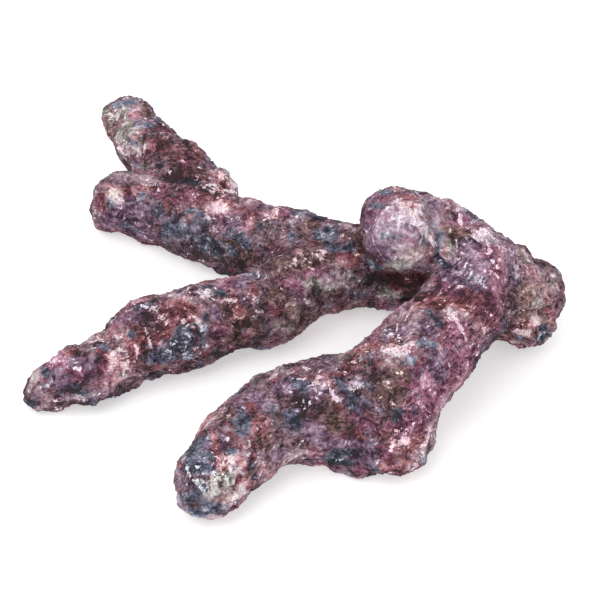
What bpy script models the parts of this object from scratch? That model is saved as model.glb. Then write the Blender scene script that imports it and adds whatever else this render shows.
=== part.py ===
"""Dry reef rock: one branching piece of porous reef rock that lies on the undersides of its arms.

A log with a forked far end and a long middle arm runs under an arch. The arch starts at a drooping
rounded head, rises over the log at a shoulder, and comes down in front as a thick leg with a heel.
The whole rock is formed first, as tubes and lumps fused by a remesh and worn by noise. It is then
divided at its main forks into one object for each arm.

+X is to the viewer's right, +Y is away from the viewer and +Z is up. The origin is at the middle of
the rock's footprint, on the surface that it lies on.
"""

import math

import bmesh
import bpy
from mathutils import Matrix, Vector, noise

MM = 0.001

# Arms: each is a line of points (x, y, z, radius) in millimetres.
LOG = [
    (-167, 117, 24, 23),
    (-158, 113, 25, 26),
    (-126, 99, 25, 26),
    (-93, 81, 28, 28),
    (-56, 60, 30, 30),
    (-12, 39, 32, 33),
    (35, 19, 34, 33),
    (78, 15, 35, 33),
    (120, -3, 36, 34),
    (156, -24, 34, 34),
    (178, -27, 36, 30),
    (190, -29, 38, 22),
]
FAR_FINGER = [(-151, 207, 40, 23), (-128, 164, 38, 25), (-95, 124, 35, 25), (-65, 70, 32, 22)]
MIDDLE_ARM = [
    (-187, -102, 16, 18),
    (-160, -96, 23, 22),
    (-139, -82, 25, 23),
    (-119, -62, 29, 31),
    (-93, -56, 30, 30),
    (-65, -38, 30, 30),
    (-30, -27, 31, 31),
    (0, 2, 33, 32),
    (31, 17, 33, 31),
]
ARCH = [
    (67, -19, 99, 29),
    (87, -13, 95, 26),
    (105, -24, 87, 27),
    (126, -41, 77, 30),
    (115, -69, 69, 32),
    (102, -86, 60, 33),
    (83, -101, 52, 37),
    (58, -126, 42, 37),
    (30, -140, 38, 36),
    (1, -145, 35, 36),
    (-26, -155, 32, 33),
    (-49, -176, 29, 30),
    (-64, -201, 25, 25),
]
ARMS = {"log": LOG, "far_finger": FAR_FINGER, "middle_arm": MIDDLE_ARM, "arch": ARCH}
ROUND_TIPS = (FAR_FINGER[0], MIDDLE_ARM[0], ARCH[0], ARCH[-1])

# Lumps that stand out of the arms: centre, then half-sizes along X, Y and Z, in millimetres.
LUMPS = [
    ((67, -19, 99), (29, 28, 33)),
    ((60, -160, 25), (28, 24, 27)),
    ((68, -153, 27), (23, 26, 29)),
    ((32, -163, 17), (28, 19, 21)),
    ((-69, 109, 44), (15, 14, 15)),
    ((152, -18, 58), (18, 22, 20)),
    ((150, -46, 62), (22, 25, 21)),
    ((161, -37, 14), (13, 14, 15)),
]

# Dents, such as the hollow beside the head: centre, then reach and depth, in millimetres.
DENTS = [
    ((93, -42, 98), 22, 4),
    ((101, -54, 97), 12, 6),
    ((-116, -68, 58), 8, 3),
    ((-42, -56, 6), 26, 6),
    ((47, -184, 6), 14, 5),
    ((196, -42, 12), 32, 7),
]

# Ledges, where one layer of crust ends: centre, direction to the raised side, reach and height.
LEDGES = [
    ((-140, 184, 40), (0.44, -0.9, 0.0), 45, 2.5),
    ((167, -52, 52), (0.0, 0.5, 0.85), 34, 4.0),
    ((-134, -73, 40), (0.93, 0.36, 0.0), 40, 2.5),
    ((124, -38, 112), (0.9, 0.3, 0.0), 32, 3.0),
]
LEDGE_WIDTH = 2.5

# Wear: the size of the feature, then the height that it adds, in millimetres.
SWELLS = (34.0, 4.0)
KNOBS = (16.0, 3.0)
PITS = (22.0, 3.5)
PIT_SHARE = 0.3

GROUND_SINK = 2.0
GROUND_SIZE = 400.0
CIRCLE_STEPS = 6
BALL_STEPS = 4
WELD = 0.01
VOXEL = 3.5
SMOOTH_STEPS = 5
SMOOTH_SHARE = 0.5
TRIANGLES = 7900
FORK_GAP = 0.3

# Main forks, in the order in which the arms come off. Each has a point of the cut, the direction out
# along the arm and the cutter's own upward direction. Then come how far the cutter reaches out along
# the arm, to its right, to its left and downwards, in millimetres.
UPRIGHT = (0.0, 0.0, 1.0)
FORKS = {
    "far_finger": ((-125, 171, 38), (-0.52, 0.85, 0.0), UPRIGHT, 100, 60, 50, 80),
    "back_arm": ((-70, 67, 30), (-0.92, 0.39, 0.0), UPRIGHT, 160, 120, 50, 80),
    "middle_arm": ((-52, -32, 30), (-0.95, -0.32, 0.0), UPRIGHT, 180, 60, 60, 80),
    "head": ((92, -15, 92), (-1.0, 0.0, 0.0), (0.0, -0.5, 0.87), 70, 42, 36, 29),
    "front_leg": ((103, -83, 60), (-0.62, -0.75, -0.2), UPRIGHT, 260, 92, 80, 160),
    "right_stub": ((160, -22, 34), (0.97, 0.0, -0.25), UPRIGHT, 80, 70, 60, 80),
}
CUTTER_TOP = 200.0

# Each piece's stone, as the mean colour of its surface.
STONE = {
    "hub": (0.19, 0.09, 0.11),
    "far_finger": (0.20, 0.13, 0.13),
    "back_arm": (0.19, 0.11, 0.13),
    "middle_arm": (0.20, 0.11, 0.12),
    "head": (0.27, 0.17, 0.22),
    "front_leg": (0.21, 0.11, 0.14),
    "right_stub": (0.22, 0.13, 0.13),
}
ROUGHNESS = 0.85


def clear_scene():
    for old in list(bpy.data.objects):
        bpy.data.objects.remove(old)


def mesh_object(name, mesh, collection):
    made = bpy.data.objects.new(name, mesh)
    collection.objects.link(made)
    return made


def evaluated_mesh(obj):
    """The object's mesh with its modifiers applied, as new data."""
    bpy.context.view_layer.update()
    graph = bpy.context.evaluated_depsgraph_get()
    return bpy.data.meshes.new_from_object(obj.evaluated_get(graph))


def tube_mesh(name, arm, collection):
    """A round tube along the arm, whose radius follows the arm's own."""
    curve = bpy.data.curves.new(name, "CURVE")
    curve.dimensions = "3D"
    curve.bevel_depth = MM
    curve.bevel_resolution = CIRCLE_STEPS
    curve.use_fill_caps = True
    line = curve.splines.new("BEZIER")
    line.radius_interpolation = "CARDINAL"
    line.bezier_points.add(len(arm) - 1)
    for point, (x, y, z, radius) in zip(line.bezier_points, arm):
        point.co = Vector((x, y, z)) * MM
        point.radius = radius
        point.handle_left_type = point.handle_right_type = "AUTO"
    guide = bpy.data.objects.new(name, curve)
    collection.objects.link(guide)
    mesh = evaluated_mesh(guide)
    bpy.data.objects.remove(guide)
    return mesh


def add_ball(form, centre, half_sizes):
    place = Matrix.LocRotScale(Vector(centre) * MM, None, Vector(half_sizes) * MM)
    bmesh.ops.create_icosphere(form, subdivisions=BALL_STEPS, radius=1, matrix=place)


def rough_form(collection):
    """Every arm as a tube, with its round tips and lumps, in one mesh of overlapping bodies."""
    form = bmesh.new()
    for name, arm in ARMS.items():
        tube = tube_mesh(name, arm, collection)
        form.from_mesh(tube)
        bpy.data.meshes.remove(tube)
    for x, y, z, radius in ROUND_TIPS:
        add_ball(form, (x, y, z), (radius, radius, radius))
    for centre, half_sizes in LUMPS:
        add_ball(form, centre, half_sizes)
    bmesh.ops.remove_doubles(form, verts=form.verts, dist=WELD * MM)
    mesh = bpy.data.meshes.new("rough_form")
    form.to_mesh(mesh)
    form.free()
    return mesh_object("rough_form", mesh, collection)


def fused(obj, collection):
    """One skin round all the bodies, with the creases between the arms filled a little."""
    remesh = obj.modifiers.new("fuse", "REMESH")
    remesh.mode = "VOXEL"
    remesh.voxel_size = VOXEL * MM
    smooth = obj.modifiers.new("soften", "SMOOTH")
    smooth.iterations = SMOOTH_STEPS
    smooth.factor = SMOOTH_SHARE
    mesh = evaluated_mesh(obj)
    bpy.data.objects.remove(obj)
    return mesh_object("fused_form", mesh, collection)


def wear(place):
    """How far the surface stands out at this place, in millimetres."""
    size, height = SWELLS
    out = height * noise.noise(place / size)
    size, height = KNOBS
    out += height * noise.noise(place / size + Vector((7, 3, 5)))
    size, depth = PITS
    nearest = noise.voronoi(place / size)[0][0]
    if nearest < PIT_SHARE:
        out -= depth * (1 - (nearest / PIT_SHARE) ** 2)
    for centre, reach, depth in DENTS:
        share = (place - Vector(centre)).length / reach
        if share < 1:
            out -= depth * (1 - share ** 2) ** 2
    for centre, raised, reach, height in LEDGES:
        away = place - Vector(centre)
        share = away.length / reach
        if share < 1:
            side = math.tanh(away.dot(Vector(raised)) / LEDGE_WIDTH)
            out += height / 2 * side * (1 - share ** 2)
    return out


def weathered(obj, collection):
    """Moves the fused skin in and out, then brings it to its number of triangles."""
    normals = [vertex.normal.copy() for vertex in obj.data.vertices]
    for vertex, normal in zip(obj.data.vertices, normals):
        vertex.co += normal * wear(vertex.co / MM) * MM
    triangles = sum(len(face.vertices) - 2 for face in obj.data.polygons)
    thin = obj.modifiers.new("thin_out", "DECIMATE")
    thin.ratio = TRIANGLES / triangles
    mesh = evaluated_mesh(obj)
    bpy.data.objects.remove(obj)
    return mesh_object("weathered_form", mesh, collection)


def cutter_box(name, low, high, place, collection):
    """A hidden box from low to high, in millimetres, in the axes of the matrix place."""
    form = bmesh.new()
    bmesh.ops.create_cube(form, size=1)
    bmesh.ops.scale(form, verts=form.verts, vec=high - low)
    bmesh.ops.translate(form, verts=form.verts, vec=(low + high) / 2)
    bmesh.ops.transform(form, verts=form.verts, matrix=place)
    bmesh.ops.scale(form, verts=form.verts, vec=(MM, MM, MM))
    mesh = bpy.data.meshes.new(name)
    form.to_mesh(mesh)
    form.free()
    cutter = mesh_object(name, mesh, collection)
    cutter.hide_render = True
    cutter.display_type = "WIRE"
    return cutter


def cut(obj, cutter, operation, name, collection):
    """A new object: what the Boolean with the cutter makes of this one, which stays."""
    copy = mesh_object(name, obj.data.copy(), collection)
    boolean = copy.modifiers.new(operation.lower(), "BOOLEAN")
    boolean.operation = operation
    boolean.object = cutter
    mesh = evaluated_mesh(copy)
    bpy.data.objects.remove(copy)
    return mesh_object(name, mesh, collection)


def flat_bottomed(obj, cutters, collection):
    """The rock cut off flat where it meets the surface that it lies on."""
    corner = Vector((GROUND_SIZE, GROUND_SIZE, 0))
    low = Vector((0, 0, GROUND_SINK)) - corner
    above = cutter_box("above_ground", low, corner + Vector((0, 0, GROUND_SIZE)), Matrix(), cutters)
    whole = cut(obj, above, "INTERSECT", "flat_bottomed_form", collection)
    bpy.data.objects.remove(obj)
    return whole


def centred(collection):
    """Moves every piece so that the middle of the footprint is at the origin."""
    corners = [vertex.co for obj in collection.objects for vertex in obj.data.vertices]
    low = Vector(min(co[axis] for co in corners) for axis in range(3))
    high = Vector(max(co[axis] for co in corners) for axis in range(3))
    middle = (low + high) / 2
    for obj in collection.objects:
        obj.data.transform(Matrix.Translation((-middle.x, -middle.y, -low.z)))


def fork_cutter(name, gap, collection):
    """The box that takes the arm off at its fork, grown by the gap."""
    point, direction, upward, out, right, left, down = FORKS[name]
    along = Vector(direction).normalized()
    aside = Vector(upward).cross(along).normalized()
    place = Matrix((along, aside, along.cross(aside))).transposed().to_4x4()
    place.translation = Vector(point)
    low = Vector((-gap, -right - gap, -down - gap))
    high = Vector((out, left + gap, CUTTER_TOP))
    return cutter_box(name + "_cutter", low, high, place, collection)


def divided(whole, cutters, collection):
    """The rock as one object for each arm and the hub that is left between them."""
    rest = whole
    for name in FORKS:
        arm = cut(rest, fork_cutter(name, 0.0, cutters), "INTERSECT", name, collection)
        arm.data.materials.append(stone(name))
        smaller = cut(rest, fork_cutter(name, FORK_GAP, cutters), "DIFFERENCE", "rest", collection)
        bpy.data.objects.remove(rest)
        rest = smaller
    rest.name = "hub"
    rest.data.materials.append(stone("hub"))


def stone(name):
    material = bpy.data.materials.new(name + "_stone")
    material.use_nodes = True
    shader = material.node_tree.nodes["Principled BSDF"]
    shader.inputs["Base Color"].default_value = (*STONE[name], 1)
    shader.inputs["Roughness"].default_value = ROUGHNESS
    return material


def main():
    clear_scene()
    cutters = bpy.data.collections.new("cutters")
    rock = bpy.data.collections.new("dry_reef_rock")
    for collection in (cutters, rock):
        bpy.context.scene.collection.children.link(collection)
    whole = flat_bottomed(weathered(fused(rough_form(rock), rock), rock), cutters, rock)
    divided(whole, cutters, rock)
    centred(rock)


main()
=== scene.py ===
"""Dry reef rock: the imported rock's own form with its small relief, its crusts and its stone.

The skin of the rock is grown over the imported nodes, roughened, and divided where the nodes are.
Lengths are in millimetres, apart from those of the camera, the floor and the light, which are in
metres. Points of the photograph are pixels of a 600 x 600 picture.
"""

import math

import bmesh
import bpy
import numpy as np
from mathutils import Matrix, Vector, noise
from mathutils.bvhtree import BVHTree


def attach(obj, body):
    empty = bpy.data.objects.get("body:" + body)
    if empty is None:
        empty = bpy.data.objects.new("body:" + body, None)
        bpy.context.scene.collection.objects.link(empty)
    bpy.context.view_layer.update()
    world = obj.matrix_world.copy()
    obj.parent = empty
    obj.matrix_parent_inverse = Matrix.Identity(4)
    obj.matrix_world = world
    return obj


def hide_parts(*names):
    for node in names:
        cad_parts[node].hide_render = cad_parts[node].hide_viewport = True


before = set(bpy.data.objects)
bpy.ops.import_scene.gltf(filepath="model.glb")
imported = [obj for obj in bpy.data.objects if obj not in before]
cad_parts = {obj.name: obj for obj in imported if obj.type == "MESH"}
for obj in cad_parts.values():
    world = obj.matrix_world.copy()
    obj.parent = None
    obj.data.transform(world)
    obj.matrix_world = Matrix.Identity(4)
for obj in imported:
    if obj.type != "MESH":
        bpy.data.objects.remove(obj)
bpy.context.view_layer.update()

MM = 0.001
PIXELS = 600

# Camera: it looks along +Y and down. Its lens and sensor are in millimetres.
AIM = Vector((0.0003, -0.0212, 0.028))
DISTANCE = 1.25
ELEVATION = math.radians(40)
LENS = 98.9
SENSOR = 36.0
PIXEL_WIDTH = DISTANCE * SENSOR / LENS / PIXELS / MM

# Floor and light, in metres and watts.
FLOOR = {"radius": 6, "sides": 64, "grey": 0.75, "roughness": 0.9, "glow": 0.45}
KEY_LIGHT = {"place": (-0.5, -0.6, 1.6), "size": 1.2, "power": 8.5}
WORLD_LIGHT = 0.95

# Skin: it is swollen a little so that the cuts between the nodes close, remeshed, smoothed and shrunk again.
MERGE = 0.01
OVERLAP = 0.35
VOXEL = 2.15
SMOOTH_STEPS = 5
SMOOTH_FACTOR = 0.5
SEAM_STEPS = 4
SEAM_VOTES = 3
UNWRAP_ANGLE = math.radians(66)
UNWRAP_MARGIN = 0.002

# Relief: size of the feature, the height that it adds, and its octaves: how fast they fade, their step
# and their number, and for the ridges also their offset and gain.
LUMPS = (13.0, 1.5, (0.9, 2.1, 3))
LAYERS = (9.0, 0.45, (0.8, 2.2, 3))
RIDGES = (5.0, 0.8, (0.9, 2.1, 3, 0.9, 2.0))
CRUMBS = (2.6, 0.6, (0.5, 2.2, 2))
LAYER_STEPS = 3.2
LAYER_EDGE = 3.5
LAYER_SHIFT = Vector((8, 1, 4))

# Pits: the size of their cells and their depth, the share of a cell that a pit takes, where its rim ends,
# and how rough the stone has to be for them.
PITS = (6.5, 1.3)
PIT_SHARE = 0.22
PIT_RIM = 1.2
PIT_ROUGH = 1.3
PIT_SHIFT = Vector((11, 2, 5))

# Size and reach of the noise that bends the layers, the ridges and the pits, and its seed, without which
# Blender would take the time of day.
WARP = (9.0, 2.6)
WARP_SEED = 7

# Rough and calm areas: their size, how much they differ, and the least roughness.
AREA_SIZE = 21.0
AREA_CONTRAST = 1.2
AREA_LEAST = 0.45
AREA_SHIFT = Vector((3, 9, 1))

# Smooth places: the share of the relief and of the tone's contrast that they lose.
SMOOTH_LOSS = 0.65
SMOOTH_CALM = 0.26

# Middle lines of the arms, along which the streaks run.
AXES = {
    "log": [(-162, 115, 22), (-121, 97, 23), (-51, 58, 28), (40, 17, 32), (125, -5, 34), (195, -31, 36)],
    "finger": [(-146, 205, 38), (-90, 122, 33), (-60, 68, 30)],
    "middle": [(-182, -104, 14), (-114, -64, 27), (-60, -40, 28), (5, 0, 31), (36, 15, 31)],
    "arch": [(72, -21, 97), (92, -15, 93), (110, -26, 85), (131, -43, 75), (120, -71, 67), (107, -88, 58),
             (88, -103, 50)],
    "leg": [(88, -103, 50), (63, -128, 40), (35, -142, 36), (-21, -157, 30), (-59, -203, 23)],
}

# Streaks: their size, how strong they are on each arm, and the height that they add. On the head, rings
# round the pixel at the middle of its face take their place, out to their reach.
STREAK_LENGTH = 13.0
STREAK_WIDTH = 2.6
STREAK_SHARE = {"log": 0.35, "finger": 0.3, "middle": 0.3, "arch": 1.4, "leg": 0.5}
STREAK_HEIGHT = 0.5
STREAK_OCTAVES = (0.8, 2.1, 3)
RINGS = {"middle": (402, 238), "reach": 33.0, "edge": 8.0, "width": 1.7, "length": 1.6, "share": 1.6}

# A mark or a form acts in full to half its radius and fades to nothing at this many radii. One that is
# written as a single pixel runs this many pixels to either side of it, and up and down.
FADE = 1.5
SPOT_REACH = (2, 1)

# Marks seen in the photograph. A word alone says what the marks under it are: "tone" is paler or darker
# stone, which in places is painted shade, in hollows, grooves and slots, along lower edges and under the
# head, and in places painted light, on the head's underside; "white" is a crisp pale fleck, and the others
# are colours of crust, with the slate in the hole by the head and the rust under the head painted shade. A
# row gives the strength and the radius in pixels, such as 0.6/20, and then each mark as a line of pixels,
# such as 176,230-215,242.
MARKS = {
    "regions": """
slate
0.45/20 168,350-200,348
0.55/10 132,208-152,212
0.55/12 36,392-76,392
0.6/6 415,376-421,374 108,323-112,319
0.6/10 200,506-222,510
0.6/14 340,455-366,458
0.6/20 176,230-215,242-262,242
0.65/6 470,215-478,219 304,463-316,464
0.7/6 384,191-410,192 198,366-212,362 176,480-178,492 338,473-350,474 172,371-184,369 152,115-160,121
0.7/7 350,348-362,343 302,214-316,217
0.75/6 95,190-92,202-92,214 48,404-66,402
0.8/7 236,395-248,388
0.85/16 196,452-190,482
lilac
0.45/14 306,434-330,446
0.55/20 376,238-400,232 420,325-436,350
0.6/14 285,385-300,400
0.7/6 71,361-77,361
0.75/18 456,262-478,266
0.85/16 126,212-152,218
rust
0.3/16 330,378-372,342
0.4/12 392,446-418,440
0.5/22 170,145-195,165
0.55/16 208,418-250,425
0.6/24 445,300-490,308
0.8/6 198,285-206,282 332,384-340,384
0.8/18 112,346-150,328-186,308
0.9/6 178,173-186,173
brown
0.25/20 375,380-400,395
0.45/22 250,325-285,310
0.5/10 205,258-225,268 232,485-228,496
0.5/20 290,262-330,250-350,245
0.75/18 518,300-545,298-535,322
0.8/6 151,353-157,353
0.95/10 106,112-110,128-118,142
green
0.45/18 320,285-375,288
0.6/5 116,374-122,374
0.6/14 122,108-140,112
0.6/16 118,118-126,140
0.7/6 134,115-140,117
0.75/6 384,357-397,358
0.75/13 206,490-226,488
0.8/5 118,152-132,155 105,108-105,118
plum
0.5/14 372,212-384,222
0.55/14 54,364-72,370
0.6/14 440,206-460,218
0.7/18 426,400-412,425
0.7/20 462,340-450,378-432,392
0.85/14 484,256-494,285-488,310
""",
    # Paler and darker spots: partly the stone's own tone, partly painted shade, as in the slot under the
    # head and along the leg's lower edge, and partly painted light, as on the head's underside.
    "shades": """
tone
-1.5/8 336,466-352,468
-1.3/7 408,294-428,295
-1.2/7 210,454-222,455
-1.1/7 367,212-371,227
-1/7 204,186-214,192
-0.9/5 472,239-477,245
-0.9/6 228,268-235,284 282,230 200,504-210,505 336,450-346,450 356,472-374,472
-0.9/7 172,192-182,196 484,282-488,300 214,246-224,254 145,340
-0.8/5 330,229-338,231 398,434-404,444 298,396-304,404 406,303-426,302
-0.8/6 486,250-494,260 98,346-104,358 228,440-234,448
-0.8/7 392,416-398,424 182,234-190,238 530,300 70,388-84,393
-0.8/8 152,316-160,330-174,338
-0.7/4 472,240
-0.7/5 400,260
-0.7/6 212,192-218,199 494,256-496,270 490,296-494,306 500,300 215,340 240,222 200,200 390,330 405,420
272,392 366,398-374,402 392,460-398,468
-0.7/7 206,244-216,248 315,365 380,370 195,457 294,426-308,438
-0.7/8 328,408
-0.7/9 272,264-282,252-296,246
-0.6/4 443,243
-0.6/5 200,192 210,180 337,235
-0.6/6 450,380 428,262 250,320 440,305 425,365 232,246-242,258 392,326-398,334 140,370-150,370
-0.6/7 98,362-104,378 282,252-290,258 188,290 230,320 185,345 495,275
-0.6/8 252,298-264,316 232,284-236,312
-0.5/5 440,290 332,235 412,228 475,245 390,375
-0.5/6 125,175 195,330 300,420 440,318 340,375 415,375 268,268 305,420 235,440 425,305 250,325 332,260
465,305 400,420 375,425 330,440 165,315 355,258
-0.5/7 300,405
-0.5/8 270,300 355,445
-0.4/6 300,400 180,345 385,440 195,180 262,265 290,232 315,408 195,335 348,400 250,410
-0.3/6 385,455
-0.25/24 50,382-104,364 124,122-186,160
0.4/5 285,300
0.4/8 262,236
0.5/4 380,375
0.5/5 238,188 216,208 328,262 420,265 378,298 498,243 225,432 205,462 195,288 172,170 120,190 105,365
520,343 90,340 305,218
0.5/6 450,258 264,374 270,370 404,400 488,240 400,440 120,107
0.5/7 138,196-150,204
0.5/8 506,310-508,326
0.6/4 320,447
0.6/5 418,268-424,272 520,347 235,181 215,208 345,350 335,262 352,290 415,268 400,296 230,210 355,404
460,310
0.6/6 372,252-384,254 128,380 440,262 62,365 40,408 550,270 370,347 355,380 380,460 235,470 60,356-70,360
0.6/7 442,208-456,214
0.6/8 240,408-268,416
0.7/4 103,108-104,122
0.7/5 530,345 155,182 475,220 550,267 248,498
0.7/6 140,146-150,144 440,250-450,258 66,356-74,358 288,402-296,408 181,478-184,492 238,440-242,458
478,258-482,266 120,382 215,512 227,420
0.7/7 206,412-212,424
0.8/4 260,209
0.8/5 78,402-112,394 326,386-334,394 436,236-444,244 263,207 432,322 285,371 92,337 150,303 372,458-380,462
0.8/6 358,382-364,388 426,380-434,390 290,306-302,304 122,380 270,372 140,302 117,365 290,410
0.9/5 64,398-78,399 515,343 74,400 238,185 437,412-436,428-433,440
0.9/6 116,188-120,204 214,210-228,212 452,308-466,318 348,350-362,346
0.9/7 512,248-528,256
0.9/8 208,500-228,496-242,486
1/5 235,183 150,147
1/6 452,250
1/8 127,305-140,298
1/9 300,278-322,280-350,280
1.2/5 136,148-143,152
1.2/6 410,461-421,450-428,432 276,370
1.2/7 420,450
1.2/8 404,260-420,262
1.3/4 516,342-528,343
1.3/7 186,500-196,511-216,513
1.3/9 34,372-36,394-46,402
1.5/6 203,455
""",
    "clusters of pale flecks": """
white
0.25/6 474,228-488,244-494,262
0.3/12 465,268-480,276
0.35/5 54,360-74,366
0.35/6 356,383-368,386 146,186-158,187
0.35/7 95,338-110,336
0.35/8 398,250-413,252
0.35/9 180,350-196,350 112,116-130,110
0.4/6 295,403-304,406 183,322-202,324
0.4/8 300,262-320,255 315,383-330,392 116,356-122,366
0.4/9 190,296-206,292
0.4/12 400,212-412,218
0.45/5 430,428-426,442-416,458
0.45/6 268,214-276,213 243,486-234,500
0.45/7 400,436-404,442 114,194-120,202
0.45/8 522,322-526,332
0.45/9 212,176-214,190-222,204
0.5/9 392,350-406,352
""",
    # On the far finger, the dark band along its right flank and the dark under its lip are painted shade.
    "far finger": """
tone
-1.3/2 221,183-227,189
-1.1/3.5 160,124-180,138-195,151-206,162
-0.8/4 157,156-160,165
-0.7/1.5 118,120-128,117-133,113
-0.6/2.5 127,139-136,146
-0.6/3 126,160-138,163-150,162
-0.5/3 143,102-147,110-150,118
-0.45/12 160,142-180,158-195,172
-0.3/2 138,139-150,137
0.3/4 136,115-134,122
0.3/5 138,127-149,124
0.5/4 186,163-185,169
0.5/9 112,127-120,137-130,147
0.7/4 213,171-212,183
0.9/5 108,118-122,111-131,110
0.9/18 122,106-130,112-126,135
slate
0.8/4 157,156-160,165
0.9/3 127,139-136,146
0.9/7 118,103-135,100
1/5 138,127-149,124
brown
0.9/4 143,101-147,110-150,118
white
0.6/1.5 171,171-170,173
0.7/1.2 167,129-176,134
0.7/1.7 123,104-124,109 143,145-145,148 146,134-149,133 198,166-199,167
0.7/1.8 118,148-126,154-136,157-146,151
0.79/2.3 110,114-118,119
0.8/3.5 221,176-228,183-232,190
0.88/2.5 213,172-217,172
rust
0.5/3 138,139-150,137
0.6/2 118,120-128,117-133,113
0.8/12 160,140-180,160-197,174
0.9/4 222,181-220,192
1/6 220,176-231,188
green
0.6/8 130,126-138,140
0.7/9 112,127-120,137-130,147
0.8/3 141,166-148,165
plum
0.9/6 186,163-185,170
""",
    "fork valley": """
slate
0.9/4 163,178-180,180-197,182
tone
-0.3/9 206,196-218,194
-0.2/4 163,178-180,180-197,182
0.8/2 187,207-190,217
1.2/7 222,204-230,203-220,212
white
0.79/2.3 206,217-214,219
0.79/2.9 222,206-226,215
1.14/4 227,190-236,194
rust
0.8/9 205,198-215,193-228,202
""",
    # On the blunt end, the dark inside the rim and along its lines is painted shade in those hollows.
    "blunt end": """
tone
-1/3 102,196-103,206
-0.8/1.6 108,215-125,220-145,222-158,226
-0.8/3 127,187-133,198
-0.6/1.4 112,208-125,213-140,215
-0.3/8 142,199-155,205-160,212
0.6/3 134,174-150,177
0.7/4 106,197-126,203
0.9/1.8 96,192-94,205-93,220-98,227
0.9/3 145,185-150,190
1.1/6 113,190-118,203
rust
0.9/4 108,185-129,190-133,200 134,172-152,176
0.9/5 102,196-103,206
brown
1.1/8 113,190-119,203
white
0.7/2.3 155,184-158,189
0.79/2.9 116,193-119,202
lilac
0.8/6 120,177-112,181
0.9/8 112,226-130,233-160,240
1/8 118,212-140,218-150,226
slate
0.7/5 122,226-140,231
1/8 142,199-155,205-160,212
""",
    "trunk": """
rust
0.8/5 167,198-168,210
0.9/5 252,216-250,234
1/7 343,255-351,262
tone
-1.3/3 183,214-174,222
-1.1/1.8 329,298-343,296
-0.9/1.8 315,285-316,296
-0.9/4 318,301-343,304
-0.8/7 345,233-356,240
-0.8/9 200,255-218,258-225,266-240,262
-0.6/4 311,226-316,230
-0.5/5 167,196-168,212
-0.3/7 198,218-190,225
0.35/7 321,283-333,287-325,293
0.4/4 330,263-337,262
0.5/4 291,226-293,234
0.7/2.5 302,218-305,219
0.9/2.5 341,226-348,228 303,281-306,285
0.9/4 264,213-275,215
slate
0.5/8 350,292-365,298
0.9/5 290,225-293,236
0.9/6 330,246-350,246
1/7 198,216-190,225-206,228 230,232-241,237
1/8 319,234-332,236
brown
0.9/6 309,226-306,237
0.9/8 215,241-235,246-250,256
1/7 345,232-355,238
white
0.7/1.3 176,226-184,229
0.7/1.5 211,228-217,232 282,288-285,289
0.79/1.7 312,253-318,251-326,252
0.79/2.1 312,268-313,269
0.79/2.3 267,218-276,217 297,264-304,265
lilac
0.8/7 233,219-238,224
plum
0.8/5 283,208-285,213
0.9/5 308,273-322,272
1/5 290,283-298,287
green
0.65/8 321,283-333,287-325,293
""",
    # Under the head: painted shadow, dark and with a rust cast, on the log below it and in the slot beside
    # the leg; the green and the paler tone are the stone's own colour.
    "painted shadow under the head": """
rust
1/10 385,281-400,285-420,280
tone
-2.4/3.2 403,300-415,298-424,297
-1.6/7 372,277-400,281-420,279
0.3/5 382,294-405,293
0.4/4 433,268-431,284
green
0.6/7 380,293-405,293
""",
    # On the middle tip, the dark lines before and beside the salmon patch are painted shade in hollows.
    "middle tip": """
slate
0.7/6 37,396-35,402
0.9/4 43,366-46,375 103,345-106,348
0.9/7 62,393-76,393
tone
-1.1/2 97,342-104,343
-1/4 85,381-90,375
-0.8/3 131,350-132,362
-0.8/4 100,352-99,361
-0.7/7 79,353-83,358
-0.6/9 76,366-92,372
-0.5/3 42,366-46,376
-0.3/7 37,394-34,402
0.1/5 60,363-69,368
0.2/6 56,357-65,353-70,352
0.5/6 104,386-113,380
0.8/4 113,370-115,375
0.9/3 50,402-70,400-92,397
1.1/7 114,358-120,362
1.3/5 36,376-28,387
green
0.5/6 37,375-29,388
white
0.7/1.4 92,342-103,341 88,350-95,348
0.7/1.7 38,385-40,387 73,359-77,362-83,362
0.7/2 91,336-100,335-110,332
0.7/2.1 101,396-107,396
0.79/1.6 133,342-137,349-137,357-134,362
0.88/2.3 73,366-79,369
0.97/2.1 118,350-126,352-128,360-126,367-123,374
rust
0.3/9 113,360-120,364
0.4/7 104,386-113,380
0.6/6 56,357-65,353-70,352
1/3 109,354-112,358 131,350-132,362
plum
0.8/6 60,363-69,368
0.9/6 73,376-81,375
brown
0.7/8 79,352-85,357
lilac
0.6/9 56,376-63,383
""",
    # On the middle arm, the dark in its pits and in the bluish hollow is painted shade.
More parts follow.
